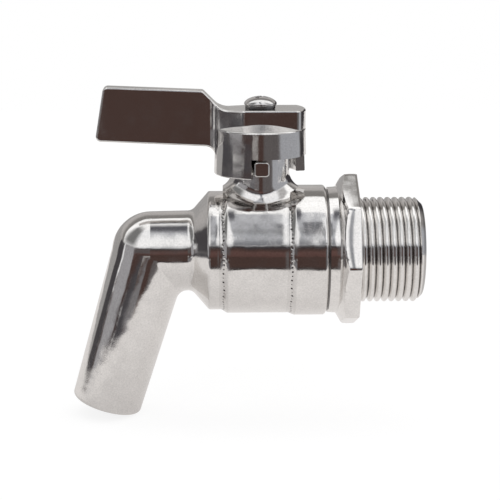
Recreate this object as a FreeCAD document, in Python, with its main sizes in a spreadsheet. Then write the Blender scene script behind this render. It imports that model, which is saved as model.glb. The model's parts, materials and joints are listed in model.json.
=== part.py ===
import FreeCAD, Part

import math
import os
import re

import Sketcher

# Beer faucet: a quarter-turn ball valve with a bent spout, in millimetres.
# The origin is on the thread axis, at the outer face of the octagon. +X runs along the thread axis
# out of the wall thread, +Z is up through the stem to the lever, and the spout hangs on the -X side.

# The driving dimensions, lengths in millimetres and angles in degrees
SIZES = {
    # Waterway and ball
    "waterway_r": 7.3,
    "ball_r": 12.2,
    "cavity_gap": 1.0,
    "slot_width": 4.2,
    "slot_depth": 3.0,
    # Seats
    "seat_rim": 0.2,
    "seat_width": 4.4,
    "seat_bury": 0.6,
    "seat_lip": 0.3,
    "ball_gap": 0.08,
    "pocket_gap": 0.04,
    # Body lengths along the thread axis
    "octagon_width": 5.1,
    "land_width": 2.7,
    "stem_setback": 16.3,
    "outlet_pocket": 2.2,
    "nose_reach": 7.9,
    "shoulder_width": 3.6,
    "cone_width": 4.2,
    "spout_run": 10.2,
    # Body walls
    "centre_wall": 2.6,
    "shoulder_wall": 2.5,
    "thread_step": 0.8,
    "collar_wall": 2.4,
    "collar_round": 0.9,
    "land_step": 0.5,
    # Weld beads
    "bead_half": 1.15,
    "bead_depth": 0.5,
    "weld_offset": 0.1,
    # Spout
    "spout_wall": 2.8,
    "elbow_shrink": 0.2,
    "drop_step": 0.15,
    "mouth_wall": 1.55,
    "spout_drop": 41.6,
    "spout_tilt": 16.8,
    "crotch_round": 3.2,
    "shoulder_round": 0.9,
    "cone_round": 2.2,
    "mouth_round": 1.0,
    # End connector
    "octagon_flats": 36.2,
    "octagon_turn": 2.5,
    "octagon_round": 0.8,
    "octagon_rim": 3.45,
    "octagon_top_r": 16.2,
    "octagon_rim_r": 19.0,
    "thread_r": 13.22,
    "thread_length": 16.4,
    "thread_lead": 1.6,
    "inlet_r": 8.0,
    "gasket_depth": 0.8,
    "gasket_width": 1.2,
    # Neck and stop lug
    "neck_wall": 1.6,
    "neck_top": 26.6,
    "flare_round": 4.6,
    "lug_half": 1.85,
    "lug_bottom": 20.4,
    "lug_top": 24.1,
    "lug_round": 0.8,
    "lug_edge": 0.4,
    "lug_inset": 0.3,
    # Stem
    "stem_r": 4.0,
    "stem_gap": 0.05,
    "tang_width": 4.0,
    "tang_length": 8.6,
    "tang_gap": 0.2,
    "flange_rise": 0.5,
    "flange_height": 2.0,
    "flange_overhang": 1.4,
    "thrust_height": 0.8,
    "guide_height": 3.2,
    "ring_r": 0.55,
    "ring_groove": 1.09,
    "square_half": 2.9,
    "stem_top_gap": 0.2,
    "tap_depth": 7.0,
    # Packing and gland
    "packing_width": 1.4,
    "base_height": 0.7,
    "packing_pitch": 1.0,
    "packing_peak": 0.6,
    "follower_height": 1.5,
    "gland_step": 0.2,
    "gland_flats": 12.0,
    "gland_height": 2.2,
    # Lever
    "skirt_gap": 2.0,
    "skirt_wall": 2.0,
    "skirt_bottom": 19.8,
    "skirt_flare": 0.35,
    "window_top": 24.7,
    "window_half": 13.0,
    "hub_gap": 0.7,
    "socket_depth": 5.0,
    "socket_gap": 0.05,
    "hub_roof": 1.5,
    "ledge_z": 31.2,
    "ledge_rise": 3.1,
    "boss_half": 6.1,
    "boss_taper": 4.3,
    "boss_round": 1.2,
    "taper_round": 2.0,
    "ledge_round": 0.4,
    "rim_round": 0.3,
    "blade_half": 2.3,
    "blade_reach": 40.9,
    "blade_lean": 2.25,
    "blade_low": 28.05,
    "blade_high": 41.5,
    "blade_drop": 1.0,
    "blade_heel": 26.75,
    "blade_shoulder": 14.2,
    "blade_corner": 1.2,
    "shoulder_blend": 1.0,
    "foot_blend": 5.0,
    "blade_edge": 0.5,
    "heel_round": 2.6,
    "root_round": 2.0,
    "root_corner": 1.0,
    "root_fade": 1.2,
    # Screw and lock washer
    "screw_r": 2.0,
    "screw_length": 8.0,
    "screw_gap": 0.03,
    "hole_gap": 0.25,
    "head_r": 4.05,
    "head_height": 2.1,
    "head_rim": 0.9,
    "head_shoulder": 2.4,
    "head_crown_r": 2.6,
    "head_ease": 0.3,
    "washer_r": 3.8,
    "washer_bore": 2.15,
    "washer_height": 0.85,
    "washer_split": 0.6,
    "recess_half": 0.5,
    "recess_reach": 2.1,
    "recess_depth": 1.5,
}

# Places worked out from the driving dimensions
PLACES = {
    "seam_x": "-octagon_width - land_width",
    "stem_x": "seam_x - stem_setback",
    "seat_back": "ball_r - seat_bury",
    "seat_face": "seat_back - seat_width",
    "seat_r": "ball_r + seat_rim",
    "seat_bore_r": "waterway_r + seat_lip",
    "pocket_r": "seat_r + pocket_gap",
    "cavity_r": "ball_r + cavity_gap",
    "collar_bore_r": "cavity_r + thread_step",
    "centre_r": "cavity_r + centre_wall",
    "shoulder_r": "pocket_r + shoulder_wall",
    "collar_r": "collar_bore_r + collar_wall",
    "land_r": "collar_r - land_step",
    "gasket_r": "collar_bore_r + gasket_width",
    "outlet_seat_x": "stem_x - seat_back",
    "inlet_seat_x": "stem_x + seat_back",
    "outlet_weld_x": "outlet_seat_x + outlet_pocket",
    "inlet_weld_x": "stem_x + neck_r + weld_offset",
    "nose_x": "stem_x + nose_reach",
    "shoulder_x": "outlet_weld_x - shoulder_width",
    "cone_x": "shoulder_x - cone_width",
    "elbow_x": "cone_x - spout_run",
    "spout_r": "waterway_r + spout_wall",
    "elbow_r": "spout_r - elbow_shrink",
    "drop_r": "elbow_r - drop_step",
    "mouth_r": "waterway_r + mouth_wall",
    "octagon_corner_r": "octagon_flats / 2 / cos(22.5)",
    "packing_r": "stem_r + packing_width",
    "gland_r": "packing_r + gland_step",
    "neck_r": "gland_r + neck_wall",
    "foot_r": "neck_r + flare_round",
    "outlet_reach": "stem_x - outlet_weld_x",
    "inlet_reach": "inlet_weld_x - stem_x",
    "flange_r": "stem_r + flange_overhang",
    "tang_z": "ball_r - slot_depth + tang_gap",
    "flange_z": "ball_r + flange_rise",
    "thrust_z": "flange_z + flange_height + stem_gap",
    "guide_z": "thrust_z + thrust_height",
    "ring_z": "guide_z + guide_height / 2",
    "packing_z": "guide_z + guide_height",
    "ring_stack_z": "packing_z + base_height",
    "follower_z": "ring_stack_z + 3 * packing_pitch",
    "gland_z": "follower_z + follower_height",
    "gland_top": "neck_top + gland_height",
    "skirt_inner_r": "neck_r + skirt_gap",
    "skirt_r": "skirt_inner_r + skirt_wall",
    "lug_reach": "skirt_r - lug_inset",
    "roof_z": "gland_top + hub_gap",
    "socket_top": "roof_z + socket_depth",
    "hub_top": "socket_top + hub_roof",
    "stem_top": "socket_top - stem_top_gap",
    "head_z": "hub_top + washer_height",
    "washer_turn": "360 - 360 * washer_split / (pi * (washer_bore + washer_r))",
    "head_top": "head_z + head_height",
    "head_dome": "(head_crown_r ^ 2 + head_ease ^ 2) / (2 * head_ease)",
    "boss_cut": "sqrt(skirt_r ^ 2 - boss_half ^ 2)",
    "root_y": "blade_half + root_round",
    "root_x": "sqrt((skirt_r + root_round) ^ 2 - root_y ^ 2)",
    "root_share": "skirt_r / (skirt_r + root_round)",
    "blade_foot": "blade_shoulder - (blade_high - blade_drop - hub_top)",
}

WORD = re.compile(r"[a-z][a-z0-9_]*")


def formula(text):
    """Write a length in the sheet's words as an expression."""
    def expand(match):
        word = match.group(0)
        if word in SIZES:
            return "Sizes." + word
        if word in PLACES:
            return "(" + formula(PLACES[word]) + ")"
        return word
    return WORD.sub(expand, text)


doc = FreeCAD.newDocument("beer_faucet")
sheet = doc.addObject("Spreadsheet::Sheet", "Sizes")
for row, (word, size) in enumerate(SIZES.items(), 1):
    sheet.set(f"A{row}", word)
    sheet.set(f"B{row}", str(size))
    sheet.setAlias(f"B{row}", word)
doc.recompute()

parts = []


def value(text):
    """The number that a length in the sheet's words comes to."""
    number = sheet.evalExpression(formula(text))
    return float(getattr(number, "Value", number))


def bind(item, prop, text):
    item.setExpression(prop, formula(text))


def new_body(label):
    body = doc.addObject("PartDesign::Body", label)
    body.Label = label
    parts.append(body)
    return body


def origin_of(body, role):
    """One of a body's own origin planes or axes."""
    return next(item for item in body.Origin.OriginFeatures if item.Role == role)


def new_sketch(body, plane, label, height="0", turn="0"):
    """A sketch on an origin plane, raised along its normal and turned about its own upright axis."""
    sketch = body.newObject("Sketcher::SketchObject", f"{body.Label}_{label}")
    sketch.AttachmentSupport = [(origin_of(body, plane), "")]
    sketch.MapMode = "FlatFace"
    sketch.AttachmentOffset = FreeCAD.Placement(
        FreeCAD.Vector(0, 0, value(height)), FreeCAD.Rotation(FreeCAD.Vector(0, 1, 0), value(turn)))
    if height != "0":
        bind(sketch, "AttachmentOffset.Base.z", height)
    if turn != "0":
        bind(sketch, "AttachmentOffset.Rotation.Angle", turn)
    return sketch


def pin_point(sketch, curve, end, x, y):
    """Hold one end of a curve at the place that two lengths give."""
    for kind, text in (("DistanceX", x), ("DistanceY", y)):
        index = sketch.addConstraint(Sketcher.Constraint(kind, -1, 1, curve, end, value(text)))
        bind(sketch, f"Constraints[{index}]", text)


def arc_between(start, end, radius, side):
    """The shorter arc from start to end, with its centre on the left or right of the chord."""
    chord = end - start
    lift = math.sqrt(max(radius ** 2 - chord.Length ** 2 / 4, 0.0))
    across = FreeCAD.Vector(-chord.y, chord.x, 0).normalize()
    centre = (start + end) / 2 + across * (lift if side == "left" else -lift)
    from_angle = math.atan2(start.y - centre.y, start.x - centre.x)
    to_angle = math.atan2(end.y - centre.y, end.x - centre.x)
    circle = Part.Circle(centre, FreeCAD.Vector(0, 0, 1), radius)
    if side == "left":
        return Part.ArcOfCircle(circle, from_angle, to_angle)
    return Part.ArcOfCircle(circle, to_angle, from_angle)


def outline(sketch, corners):
    """A closed outline. A corner is (x, y), or (x, y, radius, side) where an arc leaves it."""
    points = [FreeCAD.Vector(value(corner[0]), value(corner[1]), 0) for corner in corners]
    first, last = [], []
    for index, corner in enumerate(corners):
        start, end = points[index], points[(index + 1) % len(points)]
        if len(corner) == 2:
            curve = sketch.addGeometry(Part.LineSegment(start, end), False)
            ends = (1, 2)
        else:
            curve = sketch.addGeometry(arc_between(start, end, value(corner[2]), corner[3]), False)
            ends = (1, 2) if corner[3] == "left" else (2, 1)
        first.append((curve, ends[0]))
        last.append((curve, ends[1]))
    for index, corner in enumerate(corners):
        sketch.addConstraint(Sketcher.Constraint("Coincident", *last[index - 1], *first[index]))
        pin_point(sketch, *first[index], corner[0], corner[1])
        if len(corner) == 4:
            radius = sketch.addConstraint(Sketcher.Constraint("Radius", first[index][0], value(corner[2])))
            bind(sketch, f"Constraints[{radius}]", corner[2])
    return sketch


def disc(sketch, radius):
    """A circle about the sketch's own origin."""
    circle = Part.Circle(FreeCAD.Vector(0, 0, 0), FreeCAD.Vector(0, 0, 1), value(radius))
    curve = sketch.addGeometry(circle, False)
    sketch.addConstraint(Sketcher.Constraint("Coincident", curve, 3, -1, 1))
    index = sketch.addConstraint(Sketcher.Constraint("Radius", curve, value(radius)))
    bind(sketch, f"Constraints[{index}]", radius)
    return sketch


def rectangle(sketch, left, right, bottom, top):
    return outline(sketch, [(left, bottom), (right, bottom), (right, top), (left, top)])


def polygon(sketch, sides, corner_radius, turn="0"):
    """A regular polygon about the sketch's own origin."""
    angles = [f"{turn} + {360 / sides * index}" for index in range(sides)]
    return outline(sketch, [(f"({corner_radius}) * cos({angle})", f"({corner_radius}) * sin({angle})")
                            for angle in angles])


def feature(kind, sketch, label, **settings):
    """Add a feature that works from a sketch. Text settings are bound to the sheet."""
    body = sketch.getParentGeoFeatureGroup()
    item = body.newObject(f"PartDesign::{kind}", f"{body.Label}_{label}")
    item.Profile = sketch
    for prop, setting in settings.items():
        if isinstance(setting, str):
            bind(item, prop, setting)
        else:
            setattr(item, prop, setting)
    doc.recompute()
    return item


def turned(kind, sketch, axis, label, angle="360", **settings):
    """Turn a sketch about one of its body's axes, or about the sketch's own upright axis."""
    body = sketch.getParentGeoFeatureGroup()
    pivot = (sketch, ["V_Axis"]) if axis == "own" else (origin_of(body, axis), [""])
    return feature(kind, sketch, label, ReferenceAxis=pivot, Angle=angle, **settings)


def add_turned(sketch, axis, label="turned", **settings):
    return turned("Revolution", sketch, axis, label, **settings)


def cut_turned(sketch, axis, label="bored", **settings):
    before = sketch.getParentGeoFeatureGroup().Shape.Volume
    item = turned("Groove", sketch, axis, label, **settings)
    check_cut(item, before)
    return item


def add_pad(sketch, length, label="pad", **settings):
    return feature("Pad", sketch, label, Length=length, **settings)


def cut_pocket(sketch, length, label="pocket", **settings):
    before = sketch.getParentGeoFeatureGroup().Shape.Volume
    item = feature("Pocket", sketch, label, Length=length, **settings)
    check_cut(item, before)
    return item


def check_cut(item, before):
    """A cut that points away from the solid removes nothing, so the volumes are compared."""
    if not item.Shape.Volume < before - 1e-6:
        raise RuntimeError(f"{item.Label} cuts nothing")


def dress(kind, body, label, size, pick):
    """Round or bevel the edges that pick chooses."""
    base = body.Tip
    names = [f"Edge{index}" for index, edge in enumerate(base.Shape.Edges, 1)
             if not edge.Degenerated and pick(edge)]
    if not names:
        raise RuntimeError(f"{body.Label} has no edge for {label}")
    item = body.newObject(f"PartDesign::{kind}", f"{body.Label}_{label}")
    item.Base = (base, names)
    bind(item, "Radius" if kind == "Fillet" else "Size", size)
    doc.recompute()
    if "Invalid" in item.State:
        raise RuntimeError(f"{item.Label} failed")
    return item


def at_stem(body):
    """Stand a piece on the stem axis."""
    bind(body, "Placement.Base.x", "stem_x")
    return body


def is_circle(edge):
    return isinstance(edge.Curve, Part.Circle)


def is_line(edge):
    return isinstance(edge.Curve, (Part.Line, Part.LineSegment))


def near(number, text):
    return abs(number - value(text)) < 1e-3


def circle_at(axis, place, radius):
    """Choose the circular edges of one radius at one place along an axis."""
    def pick(edge):
        return is_circle(edge) and near(getattr(edge.Curve.Center, axis), place) and near(edge.Curve.Radius, radius)
    return pick


# Barrel with its neck

def necked_barrel(body):
    """The round barrel and the neck that stands on it, blended by a wide flare."""
    barrel = new_sketch(body, "XZ_Plane", "barrel_profile")
    rectangle(barrel, "-2 * foot_r", "2 * foot_r", "0", "centre_r")
    add_turned(barrel, "X_Axis", "barrel")
    add_pad(disc(new_sketch(body, "XY_Plane", "neck_circle"), "neck_r"), "neck_top", "neck")
    dress("Fillet", body, "flare", "flare_round", lambda edge: not is_circle(edge) and not is_line(edge))


def weld_corners(weld_x, left_r, right_r, root_r):
    """The section of a weld bead: a shallow V in the joint, closed by a smooth step between two sizes."""
    step = f"({right_r} - {left_r})"
    bend = f"(bead_half ^ 2 + {step} ^ 2 / 4) / {step}"
    return [(f"{weld_x} - bead_half", left_r), (weld_x, root_r),
            (f"{weld_x} + bead_half", right_r, bend, "left"),
            (weld_x, f"({left_r} + {right_r}) / 2", bend, "right")]


OUTLET_WELD = weld_corners("-outlet_reach", "shoulder_r", "centre_r", "shoulder_r - bead_depth")
INLET_WELD = weld_corners("inlet_reach", "centre_r", "collar_r", "centre_r - bead_depth")


def weld_turn(reach):
    """How far a bead runs round the barrel before it meets the flare of the neck."""
    return f"360 - 2 * asin(sqrt(foot_r ^ 2 - ({reach}) ^ 2) / centre_r) / 1 deg"


def low_sketch(body, label):
    """An upright sketch whose own upright axis points down, for sections turned below the barrel."""
    sketch = new_sketch(body, "XZ_Plane", label)
    sketch.AttachmentOffset = FreeCAD.Placement(
        FreeCAD.Vector(0, 0, 0), FreeCAD.Rotation(FreeCAD.Vector(1, 0, 0), 180))
    return sketch


def weld_bead(label, corners, reach):
    body = at_stem(new_body(label))
    add_turned(outline(low_sketch(body, "section"), corners), "X_Axis",
               angle=weld_turn(reach), Midplane=True)
    return body


def weld_groove(body, label, corners, reach):
    """Cut the joint's V right out through the surface above it."""
    left, root, right = corners[:3]
    top = f"{right[1]} + 1"
    section = outline(low_sketch(body, f"{label}_section"), [left, root, right[:2], (right[0], top), (left[0], top)])
    cut_turned(section, "X_Axis", label, angle=weld_turn(reach), Midplane=True)


def body_shell():
    body = at_stem(new_body("body_shell"))
    necked_barrel(body)
    lug = new_sketch(body, "XZ_Plane", "lug_section")
    rectangle(lug, "-lug_half", "lug_half", "lug_bottom", "lug_top")
    add_pad(lug, "lug_reach", "stop_lug")
    dress("Fillet", body, "lug_corners", "lug_round",
          lambda edge: is_line(edge) and near(abs(edge.CenterOfMass.x), "lug_half")
          and edge.BoundBox.YLength > 1)
    dress("Fillet", body, "lug_edges", "lug_edge", lambda edge: near(edge.CenterOfMass.y, "-lug_reach"))
    for side, (left, right) in {"outlet": ("-3 * foot_r", "-outlet_reach"),
                                "inlet": ("inlet_reach", "3 * foot_r")}.items():
        trim = new_sketch(body, "XZ_Plane", f"{side}_end")
        rectangle(trim, left, right, "-2 * centre_r", "2 * neck_top")
        cut_pocket(trim, "4 * centre_r", f"{side}_trim", Midplane=True)
    cavity = new_sketch(body, "XZ_Plane", "cavity_section")
    rectangle(cavity, "-2 * outlet_reach", "2 * inlet_reach", "0", "cavity_r")
    cut_turned(cavity, "X_Axis", "cavity")
    bore = new_sketch(body, "XZ_Plane", "neck_bore_section")
    outline(bore, [("0", "0"), ("flange_r + stem_gap", "0"), ("flange_r + stem_gap", "guide_z"),
                   ("stem_r + stem_gap", "guide_z"), ("stem_r + stem_gap", "packing_z"),
                   ("packing_r", "packing_z"), ("packing_r", "gland_z"), ("gland_r", "gland_z"),
                   ("gland_r", "neck_top + 1"), ("0", "neck_top + 1")])
    cut_turned(bore, "Z_Axis", "neck_bore")
    weld_groove(body, "outlet_groove", OUTLET_WELD, "outlet_reach")
    weld_groove(body, "inlet_groove", INLET_WELD, "inlet_reach")
    return body


def inlet_collar():
    """The threaded collar, with the foot of the neck's flare that runs over the weld."""
    body = at_stem(new_body("inlet_collar"))
    necked_barrel(body)
    ring = new_sketch(body, "XZ_Plane", "ring_section")
    rectangle(ring, "inlet_reach", "seam_x - stem_x", "0", "collar_r")
    add_turned(ring, "X_Axis", "ring")
    for side, (left, right) in {"centre": ("-3 * foot_r", "inlet_reach"),
                                "seam": ("seam_x - stem_x", "3 * foot_r")}.items():
        trim = new_sketch(body, "XZ_Plane", f"{side}_end")
        rectangle(trim, left, right, "-2 * centre_r", "2 * neck_top")
        cut_pocket(trim, "4 * centre_r", f"{side}_trim", Midplane=True)
    bore = new_sketch(body, "XZ_Plane", "bore_section")
    outline(bore, [("0", "0"), ("0", "collar_bore_r"), ("seam_x - stem_x - gasket_depth", "collar_bore_r"),
                   ("seam_x - stem_x - gasket_depth", "gasket_r"), ("seam_x - stem_x + 1", "gasket_r"),
                   ("seam_x - stem_x + 1", "0")])
    cut_turned(bore, "X_Axis", "bore")
    weld_groove(body, "inlet_groove", INLET_WELD, "inlet_reach")
    dress("Fillet", body, "rim_round", "collar_round", circle_at("x", "seam_x - stem_x", "collar_r"))
    return body


# Spout

def spout_elbow():
    """The outlet casting: shoulder, cone, elbow and the slanted tube."""
    body = new_body("spout_elbow")
    run = new_sketch(body, "XZ_Plane", "run_section")
    outline(run, [("elbow_x - elbow_r", "0", "elbow_r", "right"), ("elbow_x", "elbow_r"),
                  ("cone_x", "spout_r"), ("shoulder_x", "shoulder_r"),
                  ("outlet_weld_x", "shoulder_r"), ("outlet_weld_x", "0")])
    add_turned(run, "X_Axis", "run")
    drop = slanted_sketch(body, "drop_section")
    outline(drop, [("0", "0"), ("drop_r", "0"), ("mouth_r", "spout_drop"), ("0", "spout_drop")])
    add_turned(drop, "own", "drop")
    dress("Fillet", body, "mouth_edge", "mouth_round", at_mouth("mouth_r"))
    dress("Fillet", body, "crotch", "crotch_round", elbow_crease)
    dress("Fillet", body, "cone_foot", "cone_round", circle_at("x", "cone_x", "spout_r"))
    dress("Fillet", body, "shoulder_edge", "shoulder_round", circle_at("x", "shoulder_x", "shoulder_r"))
    throat = new_sketch(body, "XZ_Plane", "throat_section")
    outline(throat, [("elbow_x - waterway_r", "0", "waterway_r", "right"), ("elbow_x", "waterway_r"),
                     ("outlet_seat_x - seat_lip", "waterway_r"), ("outlet_seat_x", "seat_bore_r"),
                     ("outlet_seat_x", "pocket_r"), ("outlet_weld_x + 1", "pocket_r"),
                     ("outlet_weld_x + 1", "0")])
    cut_turned(throat, "X_Axis", "throat")
    bore = slanted_sketch(body, "bore_section")
    outline(bore, [("0", "0"), ("waterway_r", "0"), ("waterway_r", "spout_drop + 1"),
                   ("0", "spout_drop + 1")])
    cut_turned(bore, "own", "bore")
    groove = [(f"stem_x + {corner[0]}",) + corner[1:] for corner in OUTLET_WELD]
    weld_groove(body, "outlet_groove", groove, "outlet_reach")
    return body


def slanted_sketch(body, label):
    """An upright sketch at the elbow's centre, whose own upright axis points down the spout."""
    sketch = new_sketch(body, "XZ_Plane", label)
    sketch.AttachmentOffset = FreeCAD.Placement(
        FreeCAD.Vector(value("elbow_x"), 0, 0),
        FreeCAD.Rotation(FreeCAD.Vector(0, 0, 1), 180 - value("spout_tilt")))
    bind(sketch, "AttachmentOffset.Base.x", "elbow_x")
    bind(sketch, "AttachmentOffset.Rotation.Angle", "180 - spout_tilt")
    return sketch


def down_spout(point):
    """How far a point lies along the spout from the elbow's centre, and off its axis."""
    tilt = math.radians(value("spout_tilt"))
    axis = FreeCAD.Vector(-math.sin(tilt), 0, -math.cos(tilt))
    offset = point - FreeCAD.Vector(value("elbow_x"), 0, 0)
    along = offset.dot(axis)
    return along, (offset - axis * along).Length


def elbow_crease(edge):
    """The crease round the slanted tube, where it leaves the level run and the elbow's ball."""
    return (not is_line(edge) and not is_circle(edge) and edge.CenterOfMass.x < value("cone_x") - 1e-3
            and abs(edge.CenterOfMass.z) < value("elbow_r"))


def at_mouth(radius):
    def pick(edge):
        return (is_circle(edge) and near(edge.Curve.Radius, radius)
                and near(down_spout(edge.Curve.Center)[0], "spout_drop"))
    return pick


# End connector and its gasket

def end_connector():
    body = new_body("end_connector")
    octagon = new_sketch(body, "YZ_Plane", "octagon")
    polygon(octagon, 8, "octagon_corner_r", "90 + octagon_turn")
    add_pad(octagon, "octagon_width", "octagon_pad", Reversed=True)
    dress("Fillet", body, "corners", "octagon_round",
          lambda edge: is_line(edge) and near(edge.BoundBox.XLength, "octagon_width"))
    bevel = new_sketch(body, "XZ_Plane", "bevel_section")
    outline(bevel, [("-octagon_width", "octagon_top_r"), ("-octagon_rim", "octagon_rim_r"),
                    ("-octagon_rim", "2 * octagon_rim_r"), ("-octagon_width - 1", "2 * octagon_rim_r"),
                    ("-octagon_width - 1", "octagon_top_r")])
    cut_turned(bevel, "X_Axis", "bevel")
    shank = new_sketch(body, "XZ_Plane", "shank_section")
    outline(shank, [("nose_x", "0"), ("nose_x", "collar_bore_r - pocket_gap"),
                    ("seam_x", "collar_bore_r - pocket_gap"), ("seam_x", "land_r"),
                    ("-octagon_width / 2", "land_r"), ("-octagon_width / 2", "thread_r"),
                    ("thread_length - thread_lead", "thread_r"), ("thread_length", "thread_r - thread_lead"),
                    ("thread_length", "0")])
    add_turned(shank, "X_Axis", "shank")
    bore = new_sketch(body, "XZ_Plane", "bore_section")
    outline(bore, [("nose_x - 1", "0"), ("nose_x - 1", "pocket_r"), ("inlet_seat_x", "pocket_r"),
                   ("inlet_seat_x", "seat_bore_r"), ("seam_x", "inlet_r"), ("thread_length + 1", "inlet_r"),
                   ("thread_length + 1", "0")])
    cut_turned(bore, "X_Axis", "bore")
    return body


def body_gasket():
    body = new_body("body_gasket")
    section = new_sketch(body, "XZ_Plane", "section")
    rectangle(section, "seam_x - gasket_depth", "seam_x", "collar_bore_r", "gasket_r")
    add_turned(section, "X_Axis")
    return body


# Ball and seats

def ball():
    body = at_stem(new_body("ball"))
    section = new_sketch(body, "XZ_Plane", "half_disc")
    outline(section, [("0", "-ball_r", "ball_r", "left"), ("ball_r", "0", "ball_r", "left"),
                      ("0", "ball_r")])
    add_turned(section, "Z_Axis", "globe")
    bore = new_sketch(body, "YZ_Plane", "bore_circle")
    cut_pocket(disc(bore, "waterway_r"), "3 * ball_r", "bore", Midplane=True)
    slot = new_sketch(body, "XZ_Plane", "slot_section")
    rectangle(slot, "-slot_width / 2", "slot_width / 2", "ball_r - slot_depth", "ball_r + 1")
    cut_pocket(slot, "3 * ball_r", "slot", Midplane=True)
    return body


def seat(label, side):
    """A seat ring behind the ball. Its face is turned to the ball's own curve."""
    body = at_stem(new_body(label))
    section = new_sketch(body, "XZ_Plane", "section")
    touch_r = "(ball_r + ball_gap)"
    outer = (f"{side} * seat_face", f"sqrt({touch_r} ^ 2 - seat_face ^ 2)", touch_r,
             "left" if side == "-1" else "right")
    inner = (f"{side} * sqrt({touch_r} ^ 2 - seat_bore_r ^ 2)", "seat_bore_r")
    back = [(f"{side} * seat_back", "seat_bore_r"), (f"{side} * seat_back", "seat_r"),
            (f"{side} * seat_face", "seat_r")]
    outline(section, [outer, inner] + back)
    add_turned(section, "X_Axis")
    return body


# Stem, its seals and the gland

def stem():
    body = at_stem(new_body("stem"))
    shaft = new_sketch(body, "XZ_Plane", "shaft_section")
    outline(shaft, [("0", "flange_z"), ("flange_r", "flange_z"), ("flange_r", "flange_z + flange_height"),
                    ("stem_r", "flange_z + flange_height"), ("stem_r", "ring_z - ring_r"),
                    ("stem_r - ring_groove", "ring_z - ring_r"), ("stem_r - ring_groove", "ring_z + ring_r"),
                    ("stem_r", "ring_z + ring_r"), ("stem_r", "stem_top"), ("0", "stem_top")])
    add_turned(shaft, "Z_Axis", "shaft")
    tang = new_sketch(body, "XY_Plane", "tang_section", height="tang_z")
    rectangle(tang, "-tang_width / 2", "tang_width / 2", "-tang_length / 2", "tang_length / 2")
    add_pad(tang, "flange_z - tang_z", "tang")
    for side in ("-1", "1"):
        flats = new_sketch(body, "XY_Plane", f"flats_{'low' if side == '-1' else 'high'}", height="stem_top")
        rectangle(flats, f"{side} * square_half", f"{side} * 2 * stem_r", "-2 * stem_r", "2 * stem_r")
        cut_pocket(flats, "stem_top - roof_z", f"flat_x_{'low' if side == '-1' else 'high'}")
        flats = new_sketch(body, "XY_Plane", f"sides_{'low' if side == '-1' else 'high'}", height="stem_top")
        rectangle(flats, "-2 * stem_r", "2 * stem_r", f"{side} * square_half", f"{side} * 2 * stem_r")
        cut_pocket(flats, "stem_top - roof_z", f"flat_y_{'low' if side == '-1' else 'high'}")
    tap = new_sketch(body, "XY_Plane", "tap_circle", height="stem_top")
    cut_pocket(disc(tap, "screw_r + screw_gap"), "tap_depth", "tap")
    return body


def ring_about_stem(label, corners):
    body = at_stem(new_body(label))
    section = new_sketch(body, "XZ_Plane", "section")
    outline(section, corners)
    add_turned(section, "Z_Axis")
    return body


def washer_corners(inner_r, outer_r, bottom, top):
    return [(inner_r, bottom), (outer_r, bottom), (outer_r, top), (inner_r, top)]


RING_IN = "stem_r + stem_gap"
RING_MID = "stem_r + packing_width / 2"


def stem_thrust_washer():
    corners = washer_corners(RING_IN, "flange_r", "thrust_z", "guide_z")
    return ring_about_stem("stem_thrust_washer", corners)


def stem_o_ring():
    body = at_stem(new_body("stem_o_ring"))
    section = new_sketch(body, "XZ_Plane", "section")
    middle = "stem_r - ring_groove + ring_r"
    outline(section, [(middle, "ring_z - ring_r", "ring_r", "left"),
                      (f"{middle} + ring_r", "ring_z", "ring_r", "left"),
                      (middle, "ring_z + ring_r", "ring_r", "left"),
                      (f"{middle} - ring_r", "ring_z", "ring_r", "left")])
    add_turned(section, "Z_Axis")
    return body


def stem_packing_base():
    corners = [(RING_IN, "packing_z"), ("packing_r", "packing_z"), ("packing_r", "ring_stack_z"),
               (RING_MID, "ring_stack_z + packing_peak"), (RING_IN, "ring_stack_z")]
    return ring_about_stem("stem_packing_base", corners)


def stem_packing_rings():
    """Three chevron rings stacked on the base ring, as one set."""
    rings = []
    for index in range(3):
        low = f"ring_stack_z + {index} * packing_pitch"
        high = f"ring_stack_z + {index + 1} * packing_pitch"
        corners = [(RING_IN, low), (RING_MID, f"{low} + packing_peak"), ("packing_r", low),
                   ("packing_r", high), (RING_MID, f"{high} + packing_peak"), (RING_IN, high)]
        ring = doc.addObject("Part::Feature", f"chevron_ring_{index + 1}")
        points = [FreeCAD.Vector(value(x), 0, value(z)) for x, z in corners]
        face = Part.Face(Part.makePolygon(points + points[:1]))
        ring.Shape = face.revolve(FreeCAD.Vector(0, 0, 0), FreeCAD.Vector(0, 0, 1), 360)
        rings.append(ring)
    group = doc.addObject("Part::Compound", "stem_packing_rings")
    group.Label = "stem_packing_rings"
    group.Links = rings
    parts.append(at_stem(group))
    return group


def packing_follower():
    corners = [(RING_IN, "follower_z"), (RING_MID, "follower_z + packing_peak"), ("packing_r", "follower_z"),
               ("packing_r", "gland_z"), (RING_IN, "gland_z")]
    return ring_about_stem("packing_follower", corners)


def gland_nut():
    body = at_stem(new_body("gland_nut"))
    head = new_sketch(body, "XY_Plane", "head_hexagon", height="neck_top")
    polygon(head, 6, "gland_flats / 2 / cos(30)")
    add_pad(head, "gland_height", "head")
    thread = new_sketch(body, "XY_Plane", "thread_circle", height="gland_z")
    add_pad(disc(thread, "gland_r - pocket_gap"), "neck_top - gland_z + gland_height / 2", "thread")
    hole = new_sketch(body, "XY_Plane", "hole_circle")
    cut_pocket(disc(hole, RING_IN), "2 * gland_top", "hole", Reversed=True)
    return body


# Lever

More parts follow.
